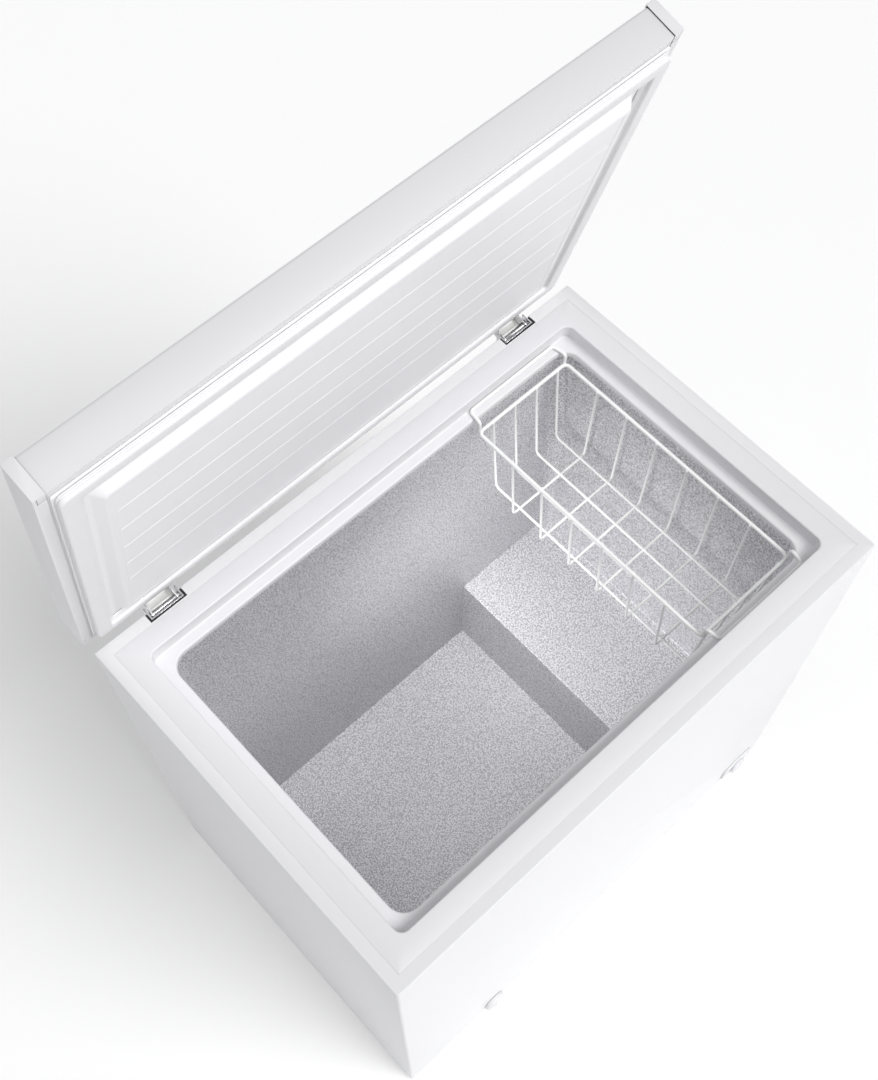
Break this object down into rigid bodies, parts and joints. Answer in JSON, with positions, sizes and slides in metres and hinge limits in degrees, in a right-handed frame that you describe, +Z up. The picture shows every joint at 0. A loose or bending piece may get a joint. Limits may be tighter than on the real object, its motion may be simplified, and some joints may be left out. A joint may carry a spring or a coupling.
{
  "type": "chest freezer",
  "caption": "Chest freezer with a hinged insulated lid held open, stepped embossed inner tank, moulded rim with a ledge, hanging wire basket, front temperature dial and drain.",
  "frame": {"origin": "on the floor, under the middle of the overall box with the lid open", "axes": "+Z up; -Y is the front, with the dials; +X is to the right when facing the front; the lid is hinged along the back"},
  "size_m": [0.818, 0.6308, 1.3392],
  "materials": {
    "paint": "smooth gloss white enamel",
    "galvanised": "bare galvanised sheet",
    "white_plastic": "satin white",
    "gasket": "soft white vinyl",
    "embossed": "pebble-embossed, bare",
    "chrome": "bright plated",
    "coated_wire": "white plastic-coated steel wire",
    "foam": "rigid insulating foam",
    "black_metal": "satin black",
    "copper": "drawn copper tube",
    "black_rubber": "moulded",
    "dark_plastic": "moulded"
  },
  "bodies": {
    "cabinet": {"outer_wrap": "paint", "back_panel": "paint", "base_pan": "galvanised", "liner_tank": "embossed", "top_collar": "white_plastic", "cabinet_foam": "foam", "bay_partition": "galvanised", "side_grille": "white_plastic", "rear_cover": "galvanised", "cord_gland": "dark_plastic", "foot_front_left": "dark_plastic", "foot_front_right": "dark_plastic", "foot_back_left": "dark_plastic", "foot_back_right": "dark_plastic", "compressor": "black_metal", "compressor_tray": "galvanised", "relay_cover": "dark_plastic", "filter_drier": "copper", "suction_tube": "copper", "discharge_tube": "copper", "evaporator_coil": "copper", "condenser_coil": "copper", "grommet_1": "black_rubber", "grommet_2": "black_rubber", "grommet_3": "black_rubber", "grommet_4": "black_rubber", "thermostat_bezel": "white_plastic", "thermostat_body": "dark_plastic", "drain_pipe": "white_plastic", "hinge_box_left": "chrome", "hinge_pin_left": "chrome", "hinge_spring_left": "galvanised", "hinge_box_right": "chrome", "hinge_pin_right": "chrome", "hinge_spring_right": "galvanised"},
    "lid": {"lid_skin": "paint", "lid_end_cap_left": "white_plastic", "lid_end_cap_right": "white_plastic", "lid_foam": "foam", "lid_liner": "white_plastic", "lid_gasket": "gasket", "hinge_leaf_left": "chrome", "hinge_leaf_right": "chrome"},
    "basket": {"basket_rim": "coated_wire", "basket_hanger_back": "coated_wire", "basket_hanger_front": "coated_wire", "basket_cross_1": "coated_wire", "basket_cross_2": "coated_wire", "basket_cross_3": "coated_wire", "basket_cross_4": "coated_wire", "basket_cross_5": "coated_wire", "basket_cross_6": "coated_wire", "basket_long_1": "coated_wire", "basket_long_2": "coated_wire", "basket_long_3": "coated_wire", "basket_long_4": "coated_wire"},
    "thermostat_knob": {"thermostat_dial": "white_plastic"},
    "drain_spout": {"drain_spout": "white_plastic"},
    "drain_knob": {"drain_dial": "white_plastic"},
    "drain_plug": {"drain_plug": "black_rubber"}
  },
  "joints": [
    {"name": "lid_hinge", "type": "hinge", "parent": "cabinet", "child": "lid", "pos_m": [0, 0.24513, 0.781], "axis": [1, 0, 0], "range_deg": [-8.8, 76.2]},
    {"name": "basket_slide", "type": "slide", "parent": "cabinet", "child": "basket", "axis": [1, 0, 0], "range_m": [-0.5, 0]},
    {"name": "thermostat_turn", "type": "hinge", "parent": "cabinet", "child": "thermostat_knob", "pos_m": [0.348, -0.30987, 0.037], "axis": [0, 1, 0], "range_deg": [0, 270]},
    {"name": "drain_pull", "type": "slide", "parent": "cabinet", "child": "drain_spout", "axis": [0, -1, 0], "range_m": [0, 0.015]},
    {"name": "drain_turn", "type": "hinge", "parent": "drain_spout", "child": "drain_knob", "pos_m": [-0.23, -0.30987, 0.026], "axis": [0, 1, 0], "range_deg": [0, 180]},
    {"name": "drain_plug_lift", "type": "slide", "parent": "cabinet", "child": "drain_plug", "axis": [0, 0, 1], "range_m": [0, 0.03]}
  ]
}
